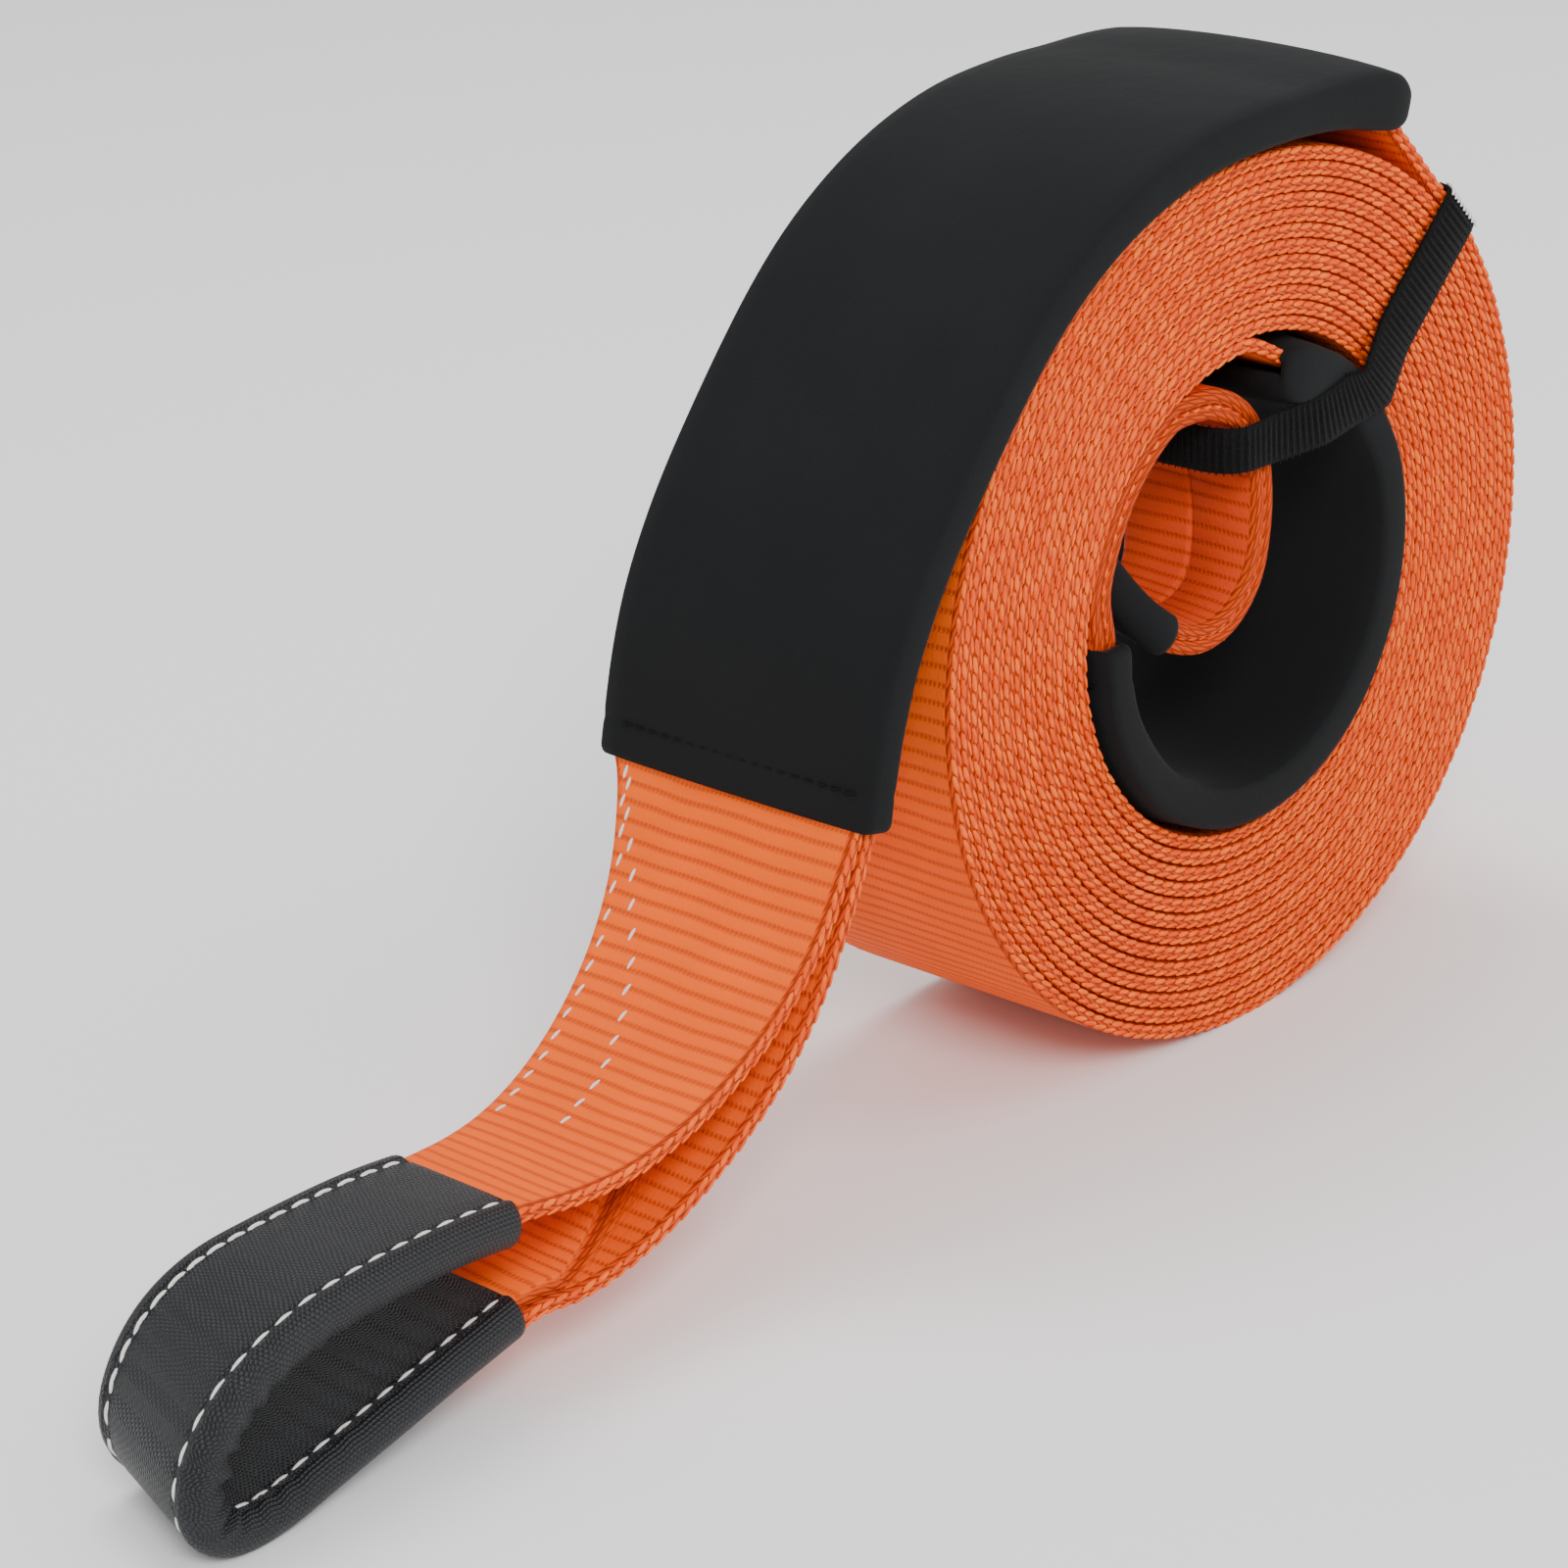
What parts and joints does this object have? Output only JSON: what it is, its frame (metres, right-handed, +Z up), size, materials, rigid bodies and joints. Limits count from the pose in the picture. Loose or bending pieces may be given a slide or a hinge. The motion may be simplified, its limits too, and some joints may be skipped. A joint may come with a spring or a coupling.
{
  "type": "recovery strap",
  "caption": "Rolled recovery strap of wide orange webbing standing on its edge, with a tapered tail, a sewn eye in a black wear cover, slide-on sleeves and an elastic keeper band.",
  "frame": {"origin": "on the floor, at the middle of the narrow flat that the roll stands on", "axes": "+Z up; the roll's axis is parallel to Y; the free end comes down on the -X side and its eye lies on the floor; the folded edge of the tail and eye is on the -Y side"},
  "size_m": [0.4508, 0.0846, 0.2286],
  "materials": {
    "webbing": "woven, matt",
    "sleeve": "soft foam-backed cloth, matt",
    "eye_cover": "close woven, slight sheen",
    "elastic": "ribbed elastic, matt"
  },
  "bodies": {
    "root": {"webbing": "webbing", "outer_sleeve": "sleeve", "inner_sleeve": "sleeve", "outer_eye_cover": "eye_cover", "inner_eye_cover": "eye_cover", "elastic_band": "elastic"}
  },
  "joints": []
}
